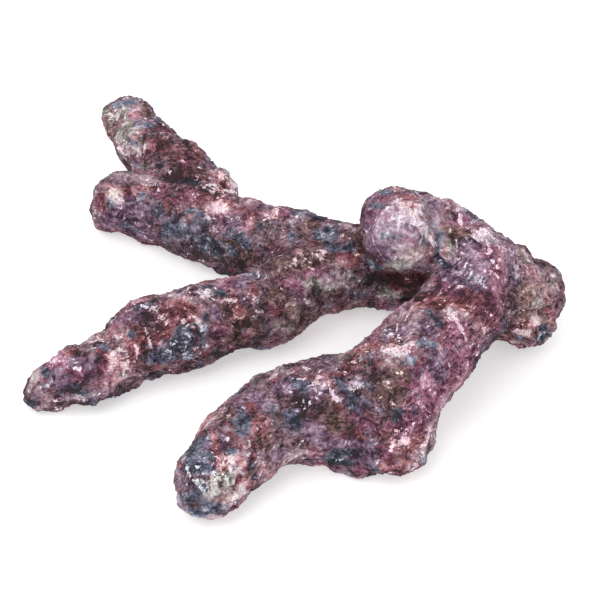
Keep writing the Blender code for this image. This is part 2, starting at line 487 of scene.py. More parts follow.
    "middle arm": """
lilac
0.4/8 134,312-128,325-118,323
0.8/6 213,306-216,315
0.9/7 240,285-246,297
slate
0.7/5 268,322-275,332
0.9/4 130,333-133,335 219,293-222,295
0.9/6 268,290-263,297
0.9/7 160,358-175,357
1.1/10 168,345-182,345-186,334
white
0.5/6 184,318-192,322-203,327
0.7/1.5 171,342-173,344 197,356-200,354
0.7/2.3 184,296-188,301
0.79/1.6 257,311-259,312
0.79/1.7 223,313-224,315
0.79/2 196,348-198,347
0.79/2.1 141,303-146,306 162,317-163,318 188,334-190,336 189,361-192,360
0.79/2.3 115,336-118,338
0.79/2.5 203,296-208,290
0.8/1.6 144,325-147,332-149,339-151,348
0.97/2.6 227,299
0.97/2.9 154,308-155,309
0.97/3 183,320-187,324
tone
-1.3/2 190,353-197,350
-1.2/3 154,318-159,317
-1/3 172,350-180,352
-0.9/2.5 235,295-238,297
-0.9/3 192,330-200,334 219,292-223,295
-0.9/4 146,313-147,320 222,308-227,311
-0.9/8 158,303-178,309-194,313
-0.8/3 193,343-196,342
-0.8/5 236,325-246,323
-0.8/14 256,302-266,316
-0.7/5 143,346-146,356 252,336-262,338
-0.6/3 214,321-218,321
-0.5/6 212,334-222,333
-0.4/8 140,340-156,336
-0.3/9 168,347-182,348
0.3/4 232,340-240,340
0.3/6 241,284-245,293
0.4/4 165,331-168,337
0.5/5 212,283-223,277
0.6/2 268,340
0.6/5 284,324-286,336
0.7/1.3 230,300-229,313
0.7/1.4 240,318-248,311
0.7/2 130,377-138,377
0.8/1.5 253,297-254,307
0.8/1.6 163,338-160,345-158,350
0.8/3 164,364-168,367
0.9/3 183,358-186,358
0.9/4 195,318-204,326
0.9/6 189,298-205,293
1.1/4 126,303-146,296-168,294-178,296
rust
0.6/6 255,328-261,333
0.7/6 146,370-158,369
0.8/5 255,284-254,292
0.8/7 233,313-240,311
0.9/6 273,300-276,312
0.9/7 143,335-156,342
1/7 185,312-196,309
1.1/9 171,309-165,325-168,337
brown
1/6 232,340-240,341
green
0.6/7 284,324-286,336
""",
    # On the head, the dark line down its right side is painted shade in its groove, the dark along its left
    # edge is painted shade, and the pale marks on its lower part are painted light on its underside.
    "head": """
lilac
0.5/24 380,238-412,235
tone
-1.2/1.8 424,212-430,223-436,234-437,248
-0.7/2.4 372,206-382,207-389,203
-0.7/6 373,254-381,263
-0.6/2 404,267-406,269
-0.6/3 370,214-378,214
-0.5/3 384,236-394,238-400,235
-0.5/5 368,262-376,265
-0.4/2.5 421,237-424,247
-0.4/4 367,203-364,225-364,257
0.3/8 385,197-400,195-412,198
0.4/8 373,222-386,226
0.7/5 419,210-427,222-431,234
0.8/1.8 412,201-418,206-421,212
0.8/4 398,202-403,208-410,215-418,221
0.95/26 392,225-410,240
1/5 393,213-405,215-415,219
1/9 396,252-418,252
1.7/7 390,264-404,266-420,259
plum
0.6/8 373,222-386,226
0.7/6 375,252-381,261-385,265
0.7/7 376,199-392,196
0.9/7 408,232-412,244
slate
0.6/3 421,237-424,247
0.7/3 372,206-382,206-389,203
0.8/4 384,236-394,238-400,235
1/6 368,262-376,265
white
0.7/1.2 371,203-373,203 384,209-388,207
0.7/1.3 394,196-399,199 373,244-376,242
0.7/1.6 392,218-399,222-398,227
0.7/2.1 401,215-408,214-415,218
0.79/1.8 410,249-416,254
0.88/2.2 425,232-430,238-433,245
green
0.6/6 394,248-413,252
0.6/7 393,264-414,262
rust
0.7/3 431,250-431,257
""",
    # By the scar, the dark tone and the slate in the hole by the head are painted shade in the hole.
    "scar": """
slate
0.9/3.5 442,233-440,243-438,250
1.1/4 437,258-441,263-446,266
tone
-1.3/2.4 436,257-441,262-446,266
-1/1.6 459,238-460,252
-0.5/3 452,235-453,240
0.4/7 444,240-446,254
0.5/2 446,250-450,248
0.6/3 449,258-454,261
rust
1/3 446,250-450,248
brown
0.9/4 452,237-445,254
white
0.79/2.1 454,240-457,247
green
0.9/5 450,243-451,258
""",
    "arch top": """
tone
-0.8/2.2 446,206-452,214-457,222
-0.7/5 451,229-454,236
-0.6/3 422,195-436,200
-0.6/5 466,230-467,238
0.35/9 426,208-442,218
0.7/3 436,219-440,227
0.9/1.8 459,228-461,233
lilac
0.7/6 464,213-470,222
0.8/7 424,210-438,208
plum
0.8/6 444,204-449,212
white
0.79/2.1 455,214-459,218-461,224
brown
1.1/7 452,228-463,234
rust
0.9/2.5 459,228-461,233
""",
    "arch": """
tone
-0.55/11 442,298-452,297-470,301-492,305
-0.45/8 490,316-497,326
-0.3/8 445,287-458,291
-0.2/8 465,243-471,250
0.3/10 460,266-478,272-484,280
0.35/20 478,262-505,270
0.5/4 474,227-481,235-488,241
0.8/2.5 523,250-528,258
0.9/1.8 490,238-497,243-503,250
white
0.6/1.6 470,232-477,240-485,249
0.65/1.8 472,226-480,234-489,244
0.7/1.6 478,224-488,233-498,244 525,264-527,268
0.79/1.4 490,272-489,276 496,274-498,277
0.79/1.8 512,254-515,258
0.88/2 494,263-498,268
0.88/2.1 489,246-490,253
lilac
0.8/9 509,262-514,272
1.1/9 465,244-471,252
1.1/10 462,266-478,272-484,280
slate
0.6/6 465,270-482,277
0.7/7 513,283-519,277
plum
0.6/10 492,312-497,326
1/8 445,287-458,291
rust
0.8/8 497,262-496,281
0.9/8 490,320-497,326
1.1/12 440,298-452,297-470,301-492,305
""",
    "shoulder": """
white
0.7/1.4 471,289-475,289
0.7/1.6 457,285-458,287
0.79/1.4 486,311-487,312 492,313-493,315
0.79/1.5 484,329-485,336 478,336-480,347
0.88/1.8 474,342-471,348
1/1.7 461,328-463,332-466,339
1/2.4 456,319-460,326
1.1/3.6 449,311-455,318
tone
-0.5/4 431,303-437,306
0.8/5 446,312-456,322
0.9/1.6 479,318-484,328-485,337
rust
0.9/7 445,330-440,339
slate
0.5/4 438,318-441,325
brown
0.9/5 431,303-437,306
""",
    # On the right stub, the dark lines below the crust and beside the ridge are painted shade in grooves.
    "right stub": """
tone
-1.1/1.6 515,318-520,313-530,311-541,310-547,306
-1/1.4 542,264-547,272-551,282
-1/4 542,329-545,334-538,337
-0.7/2.6 512,287-515,293
-0.7/3 549,311-554,316
-0.6/2.5 515,343-521,344
-0.1/8 512,302-526,300
0.35/22 524,300-540,308
0.5/5 533,297-540,304
0.5/16 525,268-548,280
0.8/3 532,269-538,279-544,288-548,300
0.8/4 552,273-558,277
0.8/5 522,321-530,322-538,321
0.9/3 509,314-514,313
1.5/6 517,334-529,333
brown
0.7/4 550,320-553,324
1/3 511,287-515,293
1/8 513,301-526,299
rust
0.6/6 522,321-530,324
0.7/4 532,268-538,279-544,288-548,300
0.9/2 524,326-533,326
0.9/4 549,311-554,316
1.1/3.5 515,343-521,344
green
0.45/6 533,297-540,304
0.7/5 555,284-560,295
white
0.79/2.1 553,275-556,275
0.97/2.5 534,320-538,324
1.06/4.6 517,333-528,334
slate
0.5/4 504,318-506,328
1.2/4 542,328-545,333-537,337
""",
    "leg top": """
white
0.7/1.2 386,358-391,364
0.7/1.3 397,322-397,330
0.79/1.7 398,335-400,342-398,348
0.79/2.1 450,364-451,366
0.88/1.6 407,317-404,323-403,329
0.88/2.1 393,353-398,358 375,337-376,339 367,350-371,349
0.88/2.3 404,353-409,351
1.06/3.2 391,350-399,350
slate
0.4/6 434,360-443,367
0.7/4 400,365-412,361
0.9/4 422,341-434,345
tone
-0.5/5 420,322-428,328
-0.5/8 434,361-443,372
-0.3/8 456,360-457,382
0.4/4 398,363-412,361 411,333-417,338 362,345-366,341
0.5/3 422,341-434,345
0.6/3 411,311-418,317
lilac
0.9/7 423,321-428,328
0.9/9 432,360-440,374
rust
0.7/5 411,333-417,338
0.7/7 455,365-457,382
0.7/8 412,353-428,357
plum
0.8/8 455,356-459,372
""",
    # On the leg, the dark in its pits and its line, and along its lower edge, is painted shade.
    "leg middle": """
plum
0.6/4 400,382-405,387
0.6/5 341,446-350,446
0.8/4 298,372-303,373
0.9/4 307,452-318,456
1.2/8 424,385-433,390-428,401
tone
-1.5/2.6 357,392-359,394
-1.2/2 379,361-382,361
-1.2/2.2 358,361-362,362
-1.2/9 330,458-350,458-366,460
-1.1/1.8 364,404-366,406
-1/1.6 303,438-315,434-329,430
-0.9/2.5 326,368-328,370
-0.9/14 382,378-400,374-392,392
-0.9/20 300,412-330,408-352,418
-0.8/2 296,373-303,373 390,386-396,391
-0.7/2 374,374-379,377
-0.6/4 323,436-336,443
-0.6/8 333,421-347,432
0.3/6 308,425-317,430
0.5/3 366,382-367,388 377,405-381,408 352,413-356,414
0.5/4 338,372-342,378
0.5/7 424,385-433,390
0.6/3 273,378-281,381
0.6/4 323,376-330,378
0.9/2.2 317,441-319,451
white
0.6/1.4 397,372-402,374 392,402-396,405
0.6/1.5 383,380-388,383
0.7/1.2 335,461-342,459
0.7/1.3 299,445-303,441
0.7/1.5 299,366-307,368 290,377-305,379
0.72/2.4 292,403-299,403-304,408
0.79/1.6 433,392-435,393
0.79/1.7 349,360-356,362
0.88/1.7 379,396-380,397
0.88/2 356,383-359,384
0.88/2.2 313,387-316,382-322,388
1.06/2.5 331,390-334,396-338,401
brown
0.8/9 320,393-326,408
0.9/9 333,421-347,432
0.9/13 378,385-400,378-395,395
slate
0.45/7 291,415-296,425-287,431
0.6/4 399,398-404,392
0.7/4 283,370-288,371 372,384-379,390
0.8/5 364,384-369,387
0.8/8 334,453-350,451-366,453-361,462
1/6 294,383-306,388
1/7 344,385-350,401
rust
0.6/6 324,375-340,372
0.7/5 273,378-281,381
1/4 356,471-365,472
1/5 356,433-361,440
1.2/3.5 316,450-313,456
green
0.5/4 389,391-395,396
0.5/8 291,415-296,425
0.8/4 415,394-419,397
lilac
0.8/5 386,371-393,377
1.1/7 308,425-317,430
1.2/11 338,453-350,452-366,455
""",
    "heel": """
tone
-0.6/2.5 405,402-411,402
-0.4/4 399,412-395,419
-0.4/5 374,451-386,451
-0.3/3 416,436-410,451
0.3/5 385,464-397,467
0.9/3.5 420,401-426,403
0.9/4 430,428-427,440-422,450-415,459-405,466
0.9/5 404,437-408,430
white
0.7/1.6 409,408-412,409
0.7/2.5 401,432-406,434
0.79/1.6 378,460-375,466-379,471
0.79/1.8 393,442-391,450 429,430-426,440-422,447
0.79/2.1 419,453-414,460-409,465
0.88/3 400,442-406,442
rust
0.6/6 385,462-397,467-405,459
0.7/4 430,410-433,420
0.9/5 415,438-410,450-420,430
1/3 405,402-411,402
plum
0.9/6 374,451-386,451
1/5 416,420-410,414
slate
0.9/4 399,412-395,419
""",
    "front tip top": """
brown
1/7 262,439-265,448
1/9 213,412-223,414-232,411
white
0.79/1.6 226,439-227,439
0.88/1.6 225,417-228,415
tone
-0.9/6 262,439-265,448
-0.7/3 215,406-225,402-233,399
-0.5/2.5 219,429-212,431
-0.5/4 238,408-245,416
-0.4/4 236,442-243,446
0.3/7 262,421-257,430
0.4/2.5 211,434-214,443
0.4/5 260,399-266,406
0.6/3 228,438-224,444
rust
0.6/9 262,421-257,432
0.9/4 216,454 238,443-243,445
1/5 215,423-226,424 248,404-254,407
1.2/4 213,431-216,447
slate
0.6/8 234,423-241,428
0.7/5 240,410-243,420
0.8/5 200,450-206,454
1/3.5 224,450-232,452
green
0.6/8 234,423-241,428
lilac
0.4/9 202,446-206,452-195,456
0.8/6 260,399-266,405
0.9/4 228,438-224,444
""",
    # On the front tip, the darkest tone lies in its hollows, its cracks, along its flank and in the slot at
    # the crotch: painted shade.
    "front tip": """
white
0.35/10 226,464-218,482
0.7/1.5 259,453-258,458
0.79/1.8 249,443-249,450-250,459
0.79/2 243,487-239,494-233,500
0.79/2.8 229,464-232,470-240,470
0.88/1 187,472-193,480-199,486-204,495
0.88/1.5 213,472-212,480-216,488
0.97/2.1 227,458-234,459
rust
0.6/4 222,459-220,467
0.7/4 264,470-268,476
0.8/4 240,459-243,464
0.9/3 181,463-182,473
1/3 254,446-255,457
1.1/3 240,478-236,486
tone
-1.5/1.6 183,493-187,498
-1.4/3 240,478-236,486
-1.3/1.2 226,471-229,476-231,482
-1.1/3 267,456-270,460
-0.9/2.6 254,446-254,458-248,468
-0.8/3 253,466-256,477 181,463-182,473
-0.6/4 192,466-203,466 190,502-199,504
-0.4/4 203,480-206,488
0.4/3.5 240,459-243,464
0.7/2.6 262,464-266,473
0.8/3.5 222,459-220,467
0.8/10 222,462-236,466-214,480
0.9/5 208,494-218,494
1/3 208,474-209,484
1.1/1.1 224,473-227,480-229,488-226,494
1.2/4.5 245,484-240,490-234,498-226,505
slate
0.6/4 231,466-233,474
0.9/5 203,474-204,488
1/4 253,466-256,477
1/5 192,466-203,466
1.1/6 205,505-215,507
green
0.9/4 207,494-217,495-223,478
brown
0.9/4 191,502-199,503
lilac
0.8/5 184,485-194,484
""",
}

# Hollows and rises seen in the photograph, in the same notation, with a height in place of the strength.
FORMS = {
    "heel's underside": "4.4/11 378,464-400,468-416,461",
    "tip's lower left": "4.2/10 186,498-196,506",
    "tip's underside": "2.2/9 190,506-206,512-220,510",
    "arch's crown": "4/8 438,204-450,208-463,215",
    "arch's far edge": "4/7 499,240-508,246",
    "crotch": "4.2/8 216,269-231,270-229,276",
    "notch by the far finger": "-3.2/7 122,163-129,168",
    "leg's edge by the gap": "-3.4/10 386,319-399,310",
    "stub's lower right": "4.4/7 532,341-541,337-548,327",
    "head's underside": "2.2/9 386,261-405,264-420,257",
    "head's left": "2.3/9 366,204-365,220",
    "lower edge by the gap": "-4/8 374,306-392,308",
    "leg's upper edge": "-4.5/12 344,350-365,337",
    "leg's left edge": "-3.8/10 231,396-246,384-264,375",
    "middle arm's underside": "-1.8/8 100,395-140,382-180,368-225,350",
    "notch by the stub": "-4/11 489,343-504,339",
    "notch by the knuckle": "-3.4/10 244,203-266,207",
    "knuckle's far edge": "-2.8/8 234,178-236,190",
    "log's bump": "2.2/8 279,210-302,214",
    "log's edge by the head": "1.8/8 344,226-357,227",
    "log's lower edge": "1.9/9 184,255-208,262",
    "log's edge by the blunt end": "-2.2/9 150,245-178,251",
    "blunt end's underside": "-1.7/9 99,229-122,232",
    "middle arm's top": "-2.1/10 135,296-167,292",
    "middle arm's shoulder": "-2.3/8 106,327-114,316",
    "middle arm's neck": "2.1/7 89,339-98,335",
    "middle tip's top": "2.3/8 41,364-57,357",
    "middle tip's end": "-1.6/8 25,390-28,379",
    "middle tip's lower left": "1.6/8 28,402-35,407",
    "middle tip's underside": "-2/9 49,408-72,407",
    "middle arm's lower edge": "-3/9 128,387-144,382-176,372",
    "middle arm's bulge": "1.8/9 231,346-285,347",
    "heel's front": "2.1/9 362,473-382,473",
    "leg's underside": "-1.5/9 326,467-340,471",
    "leg's slot": "1.1/9 294,461-318,463",
    "leg's far edge": "1.9/9 479,356-456,387",
    "leg's lower far edge": "-1.8/8 450,397-443,410",
    "stub's lower left": "2/7 511,342-520,344",
    "stub's far side": "1.8/9 561,290-562,302-560,316",
    "stub's top": "-2.2/7 541,262-556,270",
    "far tip's right": "1.8/7 143,101-149,107",
    "far finger's neck": "-1.8/7 155,114-165,122",
    "far finger's back": "1.9/8 176,131-190,143",
    "far finger's root": "2.1/7 214,167-227,174",
    "far tip's left": "1.6/8 106,118-110,136",
    "head's groove": "-2.2/2.2 423,203-429,217-435,230-438,243-437,256-431,266",
    "head's rim": "0.8/3 419,212-426,224-431,238-431,250",
    "hole by the head": "-4/3.2 437,258-441,262-446,266",
    "scar": "-1.3/7 445,235-450,253",
    "scar's edge": "0.9/2 461,236-462,256",
    "slot painted shadow under the head": "-3/2.2 403,301-414,300-421,299",
    "stub's crust": "1.3/3 510,310-520,306-532,306-545,303",
    "below the crust": "-1.6/2.2 515,318-521,313-531,311-541,311-548,307",
    "stub's ridge": "1.3/4 531,268-538,279-544,288-548,300",
    "beside the ridge": "-1.2/1.8 543,264-549,273-553,283",
    "stub's spot": "-1.8/3.4 542,328-544,334-538,337",
    "valley before the stub": "-1/4 505,300-504,318",
    "arch's band": "0.8/2.6 472,226-481,235-489,243-491,255",
    "beside the band": "-0.8/2.4 468,231-476,240-484,248",
    "white crust": "0.8/3 450,313-455,320-461,330-465,338",
    "knuckle": "1/5 213,172-228,182-232,192",
    "fork valley": "-1.6/4 163,178-180,180-197,183",
    "far tip's edge": "-1.2/2.4 140,102-144,112-146,121",
    "far tip's lip": "1/2 117,147-126,154-136,157-146,152",
    "below the lip": "-1.2/2.4 122,157-134,162-149,161",
    "blunt end's rim": "1/2 96,191-94,205-93,219-98,227",
    "inside the rim": "-1.2/3 101,195-101,208",
    "blunt end's lines": "-0.7/1.4 108,215-125,220-145,222-160,227",
    "salmon patch": "0.9/6 115,357-121,366",
    "beside the patch": "-1.2/2 131,348-132,357-130,367",
    "lines before the patch": "-0.8/1.6 90,339-104,338",
    "middle arm's step": "-1/3 88,345-98,352-103,360",
    "middle arm's pits": "-1.6/2.2 154,318-159,317",
    "bluish hollow": "-1/2.4 190,352-197,350",
    "tip's flank": "-1.6/2.6 253,440-254,452-251,462-247,471",
    "tip's rim": "0.9/1.8 249,442-249,456-246,467",
    "tip's hollow": "-1.3/2.6 240,477-236,486",
    "tip's line": "0.7/1.4 188,473-193,480-199,486-204,494",
    "tip's cracks": "-0.9/1.2 228,473-232,480",
    "tip's left hollow": "-1.2/2.2 182,490-186,496",
    "leg's pits": "-1.8/2.4 357,392-359,395",
    "leg's high pits": "-1.4/2 358,361-363,362",
    "leg's line": "-1/1.8 303,438-315,434-329,430",
    "leg's fleck": "0.8/2.2 331,390-334,396-338,401",
    "leg's left fleck": "0.8/2.2 292,403-299,403-304,408",
    "heel's hollow": "-1.3/3 418,431-415,441-409,450",
    "heel's rim": "0.9/3 430,428-427,440-421,451-412,461",
    "heel's curve": "0.8/1.4 378,460-375,466-379,471",
    "slot at the crotch": "-1.2/3 268,458-272,461",
}

# Places with a finer, smoother surface.
SMOOTH_PLACES = {
    "head": "1/34 385,225-412,240",
    "arch": "1/17 466,246-482,266-488,290",
    "shoulder": "1/15 446,298-484,302",
    "far tip": "1/12 125,105-135,112",
    "middle tip": "1/12 45,385-58,376",
}

# Stone shades: lightness along the ramp on a scale of 255, and each crust's offsets in red, green and blue.
LEVELS = (40, 58, 84, 110, 146, 192, 240)
OFFSET_SHARES = (0.43, 0.8, 0.95, 1.0, 0.95, 0.76, 0.38)
OFFSETS = {
    "mauve": (21, -8, 3),
    "slate": (-2, -2, 16),
    "lilac": (18, -9, 12),
    "plum": (36, -14, 7),
    "rust": (40, -12, -5),
    "brown": (23, -6, -8),
    "green": (8, 0, -4),
}

# Noises of the stone: the kind of place that they run through, their shift, size and roughness.
NOISES = {
    "broad": ("plain", (31, 7, 3), 32.0, 0.5),
    "middle": ("bent", (0, 0, 0), 10.0, 0.5),
    "small": ("bent", (5, 17, 29), 4.2, 0.55),
    "strand": ("grain", (0, 0, 0), 3.2, 0.5),
    "fine": ("plain", (9, 4, 13), 1.6, 0.6),
    "thread": ("bent", (17, 2, 8), 8.0, 0.5),
    "cluster": ("bent", (4, 44, 14), 22.0, 0.5),
}
NOISE_DETAIL = 2.0

# Kinds of place: size and reach of the noise that bends them, and how the grain is drawn out.
BEND = (8.0, 7.0)
TEAR = (2.4, 3.2)
SWIRL = (26.0, 48.0)
STRETCH = (0.28, 1.0, 1.0)

# Sizes: the flakes of crust, which are large plates and small chips, and the cells that cracks run between.
PLATES = 3.6
CHIPS = 1.8
CHIP_SHIFT = (3, 8, 5)
CRACKS = 4.6

# Where each field begins to show, and where it shows in full. For a patch these count from its own start.
SHOWS = {
    "strand": (0.41, 0.59),
    "crack": (0.11, 0.02),
    "cracked": (0.58, 0.42),
    "thread": (0.035, 0.008),
    "threaded": (0.35, 0.6),
    "cluster": (0.55, 0.70),
    "fleck": (0.56, 0.68),
    "gap": (0.22, 0.14),
    "patch": (-0.06, 0.09),
}

# How much each field adds to the tone, from dark at 0 to pale at 1, and to the chance of a pale fleck.
# The fields in CENTRED run from 0 to 1 and count from their middle.
MIDDLE = 0.5
CENTRED = ("plate 0", "chip 0", "broad", "middle", "small", "strand", "fine", "speckle")
TONE_BASE = 0.317
# In the tone, the pit field darkens the pits, which is painted shade, and the height field makes high places
# a little paler, which is painted light.
TONE = {
    "plate 0": 0.175, "chip 0": 0.125, "broad": 0.9, "middle": 0.34, "small": 0.12, "strand": 0.16,
    "fine": 0.08, "streak": 0.13, "height": 0.03, "pit": -0.12, "crack": -0.18, "thread": 0.16,
}
MARK_TONE = 0.18
GAP_TONE = -0.16
SPECKLE = {"plate 1": 0.35, "chip 1": 0.65}
CHANCE = {
    "white": 1.0, "speckle": 1.1, "tone": 0.10, "middle": 1.4, "streak": 0.25, "crack": -0.3,
    "strand": 0.35, "thread": 0.18, "cluster": 0.22,
}
WHITE = 0.84
WHITE_SPREAD = 0.36

# Painted shade on the underside: how far up the surface may face, and by how many marks of full strength it
# is darkened.
UNDERSIDE_SHADE_SLOPE = 0.35
UNDERSIDE_PAINTED_SHADE = -0.6

# Crust patches: shift of the field, its size, and the value above which a patch shows.
PATCHES = {
    "brown": ((7, 15, 2), 27.0, 0.60),
    "rust": ((13, 1, 9), 25.0, 0.58),
    "plum": ((2, 23, 8), 29.0, 0.58),
    "lilac": ((51, 3, 17), 24.0, 0.60),
    "green": ((9, 3, 27), 20.0, 0.66),
    "slate": ((41, 5, 6), 18.0, 0.64),
}
# What a mark of the patch's own hue adds to its field, what a mark of any hue does, and what the flakes do.
PATCH_MARK = 0.39
PATCH_MARKED = -0.14
PATCH_PLATE = 0.17
PATCH_CHIP = 0.06
PATCH_ROUGH = 0.5

# Surface: strength and depth of the bumps, how much the cracks add to them, and the part of the fine noise
# that the roughness runs over, with its ends.
FINE_BUMP = (0.6, 0.7)
FLAKE_BUMP = (0.35, 0.8)
CRACK_BUMP = -0.8
ROUGHNESS = (0.3, 0.7, 0.95, 0.75)
SPECULAR = 0.25


def linked(name, data):
    """A new object in the scene."""
    made = bpy.data.objects.new(name, data)
    bpy.context.scene.collection.objects.link(made)
    return made


def applied(obj):
    """A new mesh object in place of this one, with its modifiers applied."""
    bpy.context.view_layer.update()
    graph = bpy.context.evaluated_depsgraph_get()
    mesh = bpy.data.meshes.new_from_object(obj.evaluated_get(graph))
    name = obj.name
    bpy.data.objects.remove(obj)
    return linked(name, mesh)


def add_camera():
    data = bpy.data.cameras.new("camera")
    data.lens = LENS
    data.sensor_width = SENSOR
    camera = linked("camera", data)
    back = Vector((0, -math.cos(ELEVATION), math.sin(ELEVATION)))
    camera.location = AIM + back * DISTANCE
    camera.rotation_euler = (math.pi / 2 - ELEVATION, 0, 0)
    bpy.context.scene.camera = camera
    bpy.context.view_layer.update()
    return camera


def grown_skin():
    """One closed skin over all the nodes, with the narrow cuts at the forks closed."""
    form = bmesh.new()
    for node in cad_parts.values():
        form.from_mesh(node.data)
    bmesh.ops.remove_doubles(form, verts=form.verts, dist=MERGE * MM)
    form.normal_update()
    for vertex in form.verts:
        vertex.co += vertex.normal * OVERLAP * MM
    mesh = bpy.data.meshes.new("skin")
    form.to_mesh(mesh)
    form.free()
    skin = linked("skin", mesh)
    remesh = skin.modifiers.new("grow", "REMESH")
    remesh.mode = "VOXEL"
    remesh.voxel_size = VOXEL * MM
    smooth = skin.modifiers.new("soften", "SMOOTH")
    smooth.iterations = SMOOTH_STEPS
    smooth.factor = SMOOTH_FACTOR
    return applied(skin)


def nearest_nodes(skin):
    """The number of the node that each face of the skin lies on, and the nodes' names."""
    names = sorted(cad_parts)
    points, faces, owners = [], [], []
    for number, name in enumerate(names):
        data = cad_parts[name].data
        start = len(points)
        points += [vertex.co.copy() for vertex in data.vertices]
        faces += [[start + corner for corner in face.vertices] for face in data.polygons]
        owners += [number] * len(data.polygons)
    tree = BVHTree.FromPolygons(points, faces)
    return [owners[tree.find_nearest(face.center)[2]] for face in skin.data.polygons], names


def tidy_seams(skin, labels):
    """Gives a face that stands out of its neighbours their node."""
    form = bmesh.new()
    form.from_mesh(skin.data)
    form.faces.ensure_lookup_table()
    around = [[link.index for edge in face.edges for link in edge.link_faces if link is not face]
              for face in form.faces]
    form.free()
    for _ in range(SEAM_STEPS):
        fresh = list(labels)
        for index, others in enumerate(around):
            votes = [labels[other] for other in others]
            best = max(set(votes), key=votes.count)
            if votes.count(best) >= SEAM_VOTES:
                fresh[index] = best
        labels = fresh
    return labels


def unwrapped(skin, count):
    """Lays out each node's faces on their own in the map named OFBake."""
    skin.data.uv_layers.new(name="OFBake")
    bpy.context.view_layer.objects.active = skin
    skin.select_set(True)
    marks = np.array([face.material_index for face in skin.data.polygons])
    for number in range(count):
        bpy.ops.object.mode_set(mode="EDIT")
        bpy.ops.mesh.select_mode(type="FACE")
        bpy.ops.mesh.select_all(action="DESELECT")
        bpy.ops.object.mode_set(mode="OBJECT")
        skin.data.polygons.foreach_set("select", marks == number)
        bpy.ops.object.mode_set(mode="EDIT")
        bpy.ops.uv.smart_project(angle_limit=UNWRAP_ANGLE, island_margin=UNWRAP_MARGIN)
        bpy.ops.object.mode_set(mode="OBJECT")


def refined(skin):
    finer = skin.modifiers.new("finer", "SUBSURF")
    finer.levels = finer.render_levels = 1
    finer.uv_smooth = "NONE"
    return applied(skin)


def divided_skin():
    """The grown skin with each face marked with its node's number, and the nodes' names."""
    skin = grown_skin()
    labels, names = nearest_nodes(skin)
    labels = tidy_seams(skin, labels)
    for _ in names:
        skin.data.materials.append(None)
    skin.data.polygons.foreach_set("material_index", labels)
    unwrapped(skin, len(names))
    return refined(skin), names


def vertex_values(data):
    """The places of a mesh's vertices, in metres, and their normals."""
    points = np.zeros((len(data.vertices), 3))
    data.vertices.foreach_get("co", points.ravel())
    normals = np.zeros((len(data.vertices), 3))
    data.vertex_normals.foreach_get("vector", normals.ravel())
    return points, normals


def sampled(function, points):
    return np.array([function(Vector(point)) for point in points])


def smoothstep(value):
    value = np.clip(value, 0, 1)
    return value * value * (3 - 2 * value)


def line_of(word):
    """The pixels along a mark that is written as a word."""
    line = [tuple(int(number) for number in pixel.split(",")) for pixel in word.split("-")]
    if len(line) == 1:
        (u, v), (across, down) = line[0], SPOT_REACH
        line = [(u - across, v - down), (u + across, v + down)]
    return line


def marks_of(text):
    """Each mark in a text: its kind, its strength, its radius and the pixels along it."""
    kind = strength = radius = None
    for word in text.split():
        if word.isalpha():
            kind = word
        elif "/" in word:
            strength, radius = [float(number) for number in word.split("/")]
        else:
            yield kind, strength, radius, line_of(word)


class Photograph:
    """Finds the places on the rock that pixels of the photograph show."""

    def __init__(self, camera, points, faces):
        self.start = camera.matrix_world.translation
        self.turn = camera.matrix_world.to_3x3()
        self.tree = BVHTree.FromPolygons([Vector(point) for point in points], faces)
        self.places = points / MM

    def place(self, u, v):
        reach = SENSOR / LENS / PIXELS
        local = Vector(((u - PIXELS / 2) * reach, (PIXELS / 2 - v) * reach, -1))
        hit = self.tree.ray_cast(self.start, (self.turn @ local).normalized())[0]
        return None if hit is None else np.array(hit) / MM

    def spots(self, line):
        """Places along a line of pixels, about two pixels apart."""
        found = []
        for (u, v), (u2, v2) in zip(line, line[1:]):
            steps = max(2, round(math.hypot(u2 - u, v2 - v) / 2) + 1)
            shares = np.linspace(0, 1, steps)
            found += [self.place(u + (u2 - u) * share, v + (v2 - v) * share) for share in shares]
        found = [spot for spot in found if spot is not None]
        if not found:
            print("off the rock:", line)
        return found

    def near(self, line, radius):
        """The vertices that a line of pixels reaches, and how many radii off they are."""
        radius = radius * PIXEL_WIDTH
        spots = self.spots(line)
        if not spots:
            return np.zeros(0, int), np.zeros(0)
        low = np.min(spots, axis=0) - FADE * radius
        high = np.max(spots, axis=0) + FADE * radius
        inside = np.flatnonzero(np.all((self.places > low) & (self.places < high), axis=1))
        away = np.min([np.linalg.norm(self.places[inside] - spot, axis=1) for spot in spots], axis=0)
        return inside, away / radius


def mark_fields(photograph):
    """How strongly each place is marked with each kind of mark."""
    count = len(photograph.places)
    fields = {kind: np.zeros(count) for kind in ("tone", "white", *PATCHES)}
    for text in MARKS.values():
        for kind, strength, radius, line in marks_of(text):
            inside, away = photograph.near(line, radius)
            if kind == "tone":
                fields[kind][inside] += strength * smoothstep(FADE - away)
            else:
                here = strength * np.clip(FADE - away, 0, 1)
                fields[kind][inside] = np.maximum(fields[kind][inside], here)
    fields["marked"] = np.max([fields[hue] for hue in PATCHES], axis=0)
    return fields


def smooth_field(photograph):
    """How smooth each place is: fully to one radius from its line, and not at all from FADE radii on."""
    field = np.zeros(len(photograph.places))
    for text in SMOOTH_PLACES.values():
        for _, share, radius, line in marks_of(text):
            inside, away = photograph.near(line, radius)
            field[inside] = np.maximum(field[inside], share * smoothstep(2 * (FADE - away)))
    return field


def form_heights(photograph):
    heights = np.zeros(len(photograph.places))
    for text in FORMS.values():
        for _, height, radius, line in marks_of(text):
            inside, away = photograph.near(line, radius)
            heights[inside] += height * smoothstep(FADE - away)
    return heights


